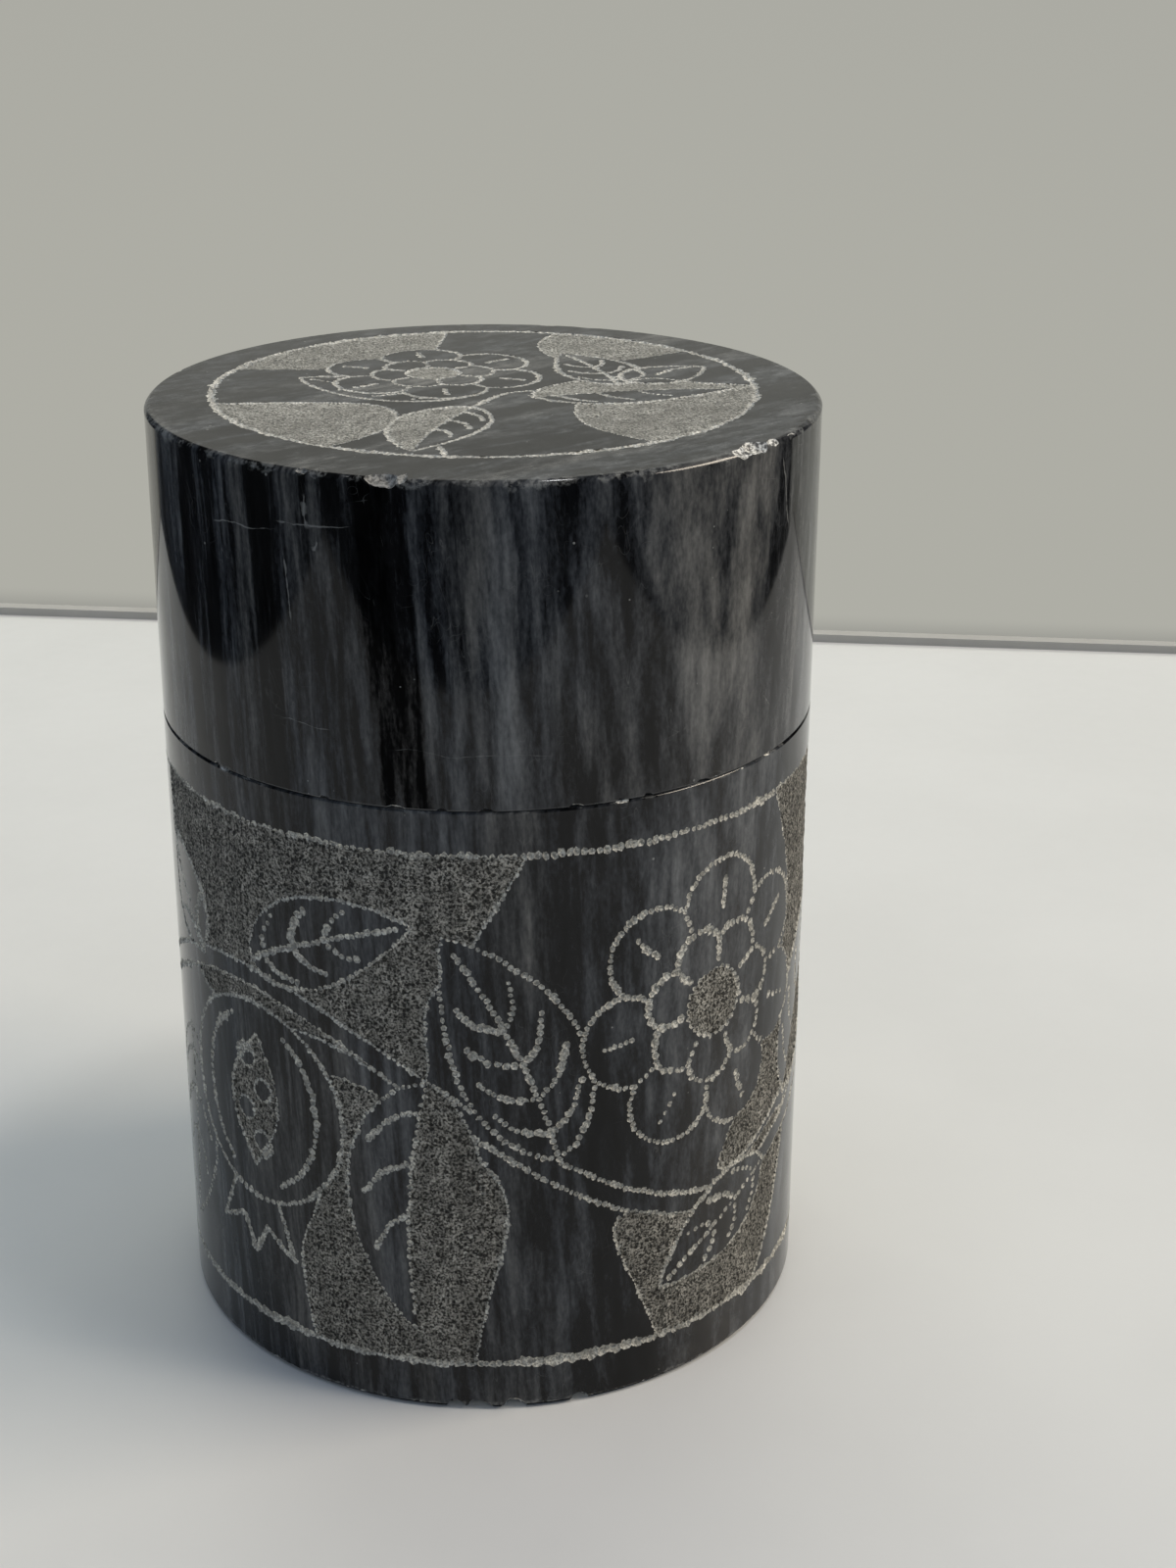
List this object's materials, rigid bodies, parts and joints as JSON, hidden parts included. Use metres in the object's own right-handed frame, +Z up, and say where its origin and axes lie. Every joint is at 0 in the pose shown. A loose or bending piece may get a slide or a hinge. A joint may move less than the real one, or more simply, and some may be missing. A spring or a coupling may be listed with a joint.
{
  "type": "lidded stone pot",
  "caption": "Turned cylindrical marble pot with a deep lift-off lid that drops over a neck, for holding small toiletries.",
  "frame": {"origin": "centre of the flat base", "axes": "+Z up along the pot's axis; -Y is the side that the picture shows"},
  "size_m": [0.074, 0.074, 0.1075],
  "materials": {
    "marble": "dark grey banded marble, polished, with paler pecked engraving"
  },
  "bodies": {
    "pot": {"pot": "marble"},
    "lid": {"lid": "marble"}
  },
  "joints": [
    {"name": "lid_lift", "type": "slide", "parent": "pot", "child": "lid", "axis": [0, 0, 1], "range_m": [0, 0.065]}
  ]
}
